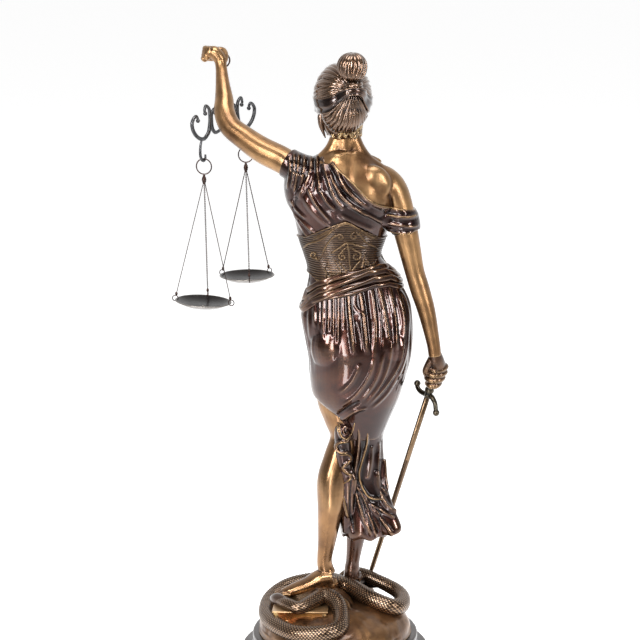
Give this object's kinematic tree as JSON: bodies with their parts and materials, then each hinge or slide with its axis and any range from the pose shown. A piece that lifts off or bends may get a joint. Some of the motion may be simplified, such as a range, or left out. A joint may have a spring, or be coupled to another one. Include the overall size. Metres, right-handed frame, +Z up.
{
  "type": "lady justice statue",
  "caption": "Cast bronze standing figure of Justice with sword and hanging balance, one foot on a book ringed by a snake, on a stepped round plinth.",
  "frame": {"origin": "centre of the plinth's flat underside", "axes": "+Z up the figure, the figure faces +Y, her right hand with the sword is on the +X side"},
  "size_m": [0.5146, 0.4573, 1.1866],
  "materials": {
    "lacquered_bronze": "dark brown-red lacquered bronze, golden brown on the skin, worn bright on the edges",
    "plinth_bronze": "dark satin bronze",
    "aged_steel": "brown aged metal",
    "dark_wire": "dark wire and links",
    "pewter_grey": "pewter grey casting",
    "pan_metal": "grey metal dish, dark rim"
  },
  "bodies": {
    "root": {"figure": "lacquered_bronze", "plinth": "plinth_bronze", "sword": "aged_steel", "hand_ring": "dark_wire", "balance_beam": "pewter_grey", "near_hook_ring": "dark_wire", "near_clasp": "dark_wire", "near_pan": "pan_metal", "near_chain_1": "dark_wire", "near_rim_ring_1": "dark_wire", "near_chain_2": "dark_wire", "near_rim_ring_2": "dark_wire", "near_chain_3": "dark_wire", "near_rim_ring_3": "dark_wire", "far_hook_ring": "dark_wire", "far_clasp": "dark_wire", "far_pan": "pan_metal", "far_chain_1": "dark_wire", "far_rim_ring_1": "dark_wire", "far_chain_2": "dark_wire", "far_rim_ring_2": "dark_wire", "far_chain_3": "dark_wire", "far_rim_ring_3": "dark_wire"}
  },
  "joints": []
}
